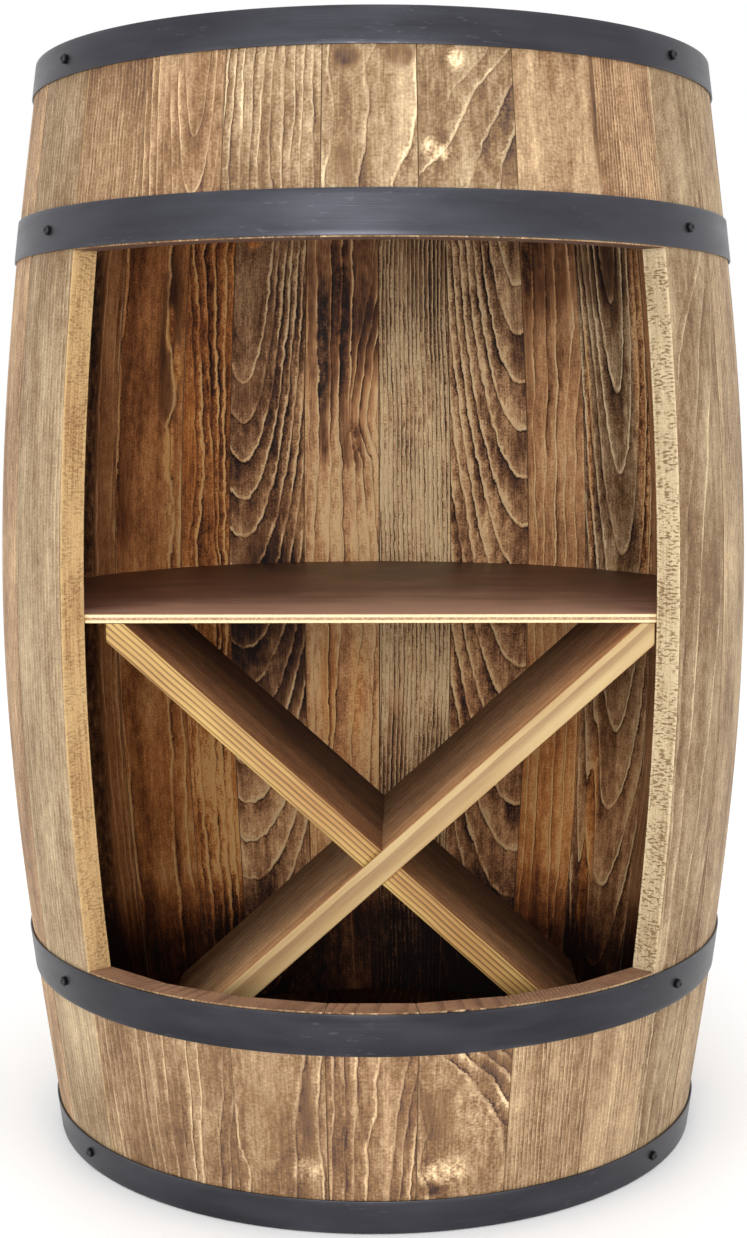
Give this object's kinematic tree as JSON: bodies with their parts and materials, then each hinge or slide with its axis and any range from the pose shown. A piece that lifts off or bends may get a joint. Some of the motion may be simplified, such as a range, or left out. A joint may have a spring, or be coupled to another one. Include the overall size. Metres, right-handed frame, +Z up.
{
  "type": "barrel bar cabinet",
  "caption": "Upright wooden cask with a wide front opening, an inner shelf and crossed boards for bottles, bound by flat steel hoops.",
  "frame": {"origin": "on the cask's vertical axis at floor level, 3.5 mm below the middle of the bottom head", "axes": "+Z up along the cask, -Y out of the front opening, +X to the right of someone facing the opening"},
  "size_m": [0.5665, 0.5527, 0.8],
  "materials": {
    "stave_pine": "wire-brushed softwood, stained tan brown outside and dark brown inside, satin",
    "head_pine": "stained softwood, satin",
    "cross_pine": "softwood with stained faces and raw cut edges, satin",
    "shelf_ply": "three-ply plywood, stained dark reddish brown, satin",
    "hoop_steel": "flat steel strap with a dark grey matte coat",
    "screw_black": "black phosphated"
  },
  "bodies": {
    "root": {"wall_stave_01": "stave_pine", "wall_stave_02": "stave_pine", "wall_stave_03": "stave_pine", "wall_stave_04": "stave_pine", "wall_stave_05": "stave_pine", "wall_stave_06": "stave_pine", "wall_stave_07": "stave_pine", "wall_stave_08": "stave_pine", "wall_stave_09": "stave_pine", "wall_stave_10": "stave_pine", "wall_stave_11": "stave_pine", "wall_stave_12": "stave_pine", "wall_stave_13": "stave_pine", "wall_stave_14": "stave_pine", "wall_stave_15": "stave_pine", "wall_stave_16": "stave_pine", "wall_stave_17": "stave_pine", "wall_stave_18": "stave_pine", "skirt_stave_1": "stave_pine", "skirt_stave_2": "stave_pine", "skirt_stave_3": "stave_pine", "skirt_stave_4": "stave_pine", "skirt_stave_5": "stave_pine", "skirt_stave_6": "stave_pine", "skirt_stave_7": "stave_pine", "lintel_stave_1": "stave_pine", "lintel_stave_2": "stave_pine", "lintel_stave_3": "stave_pine", "lintel_stave_4": "stave_pine", "lintel_stave_5": "stave_pine", "lintel_stave_6": "stave_pine", "lintel_stave_7": "stave_pine", "top_head_board_1": "head_pine", "top_head_board_2": "head_pine", "top_head_board_3": "head_pine", "top_head_board_4": "head_pine", "top_head_board_5": "head_pine", "bottom_head_board_1": "head_pine", "bottom_head_board_2": "head_pine", "bottom_head_board_3": "head_pine", "bottom_head_board_4": "head_pine", "bottom_head_board_5": "head_pine", "shelf": "shelf_ply", "cross_board_front": "cross_pine", "cross_board_rear": "cross_pine", "hoop_base": "hoop_steel", "hoop_lower": "hoop_steel", "hoop_upper": "hoop_steel", "hoop_top": "hoop_steel", "hoop_base_screw_left": "screw_black", "hoop_base_screw_right": "screw_black", "hoop_lower_screw_left": "screw_black", "hoop_lower_screw_right": "screw_black", "hoop_upper_screw_left": "screw_black", "hoop_upper_screw_right": "screw_black", "hoop_top_screw_left": "screw_black", "hoop_top_screw_right": "screw_black"}
  },
  "joints": []
}
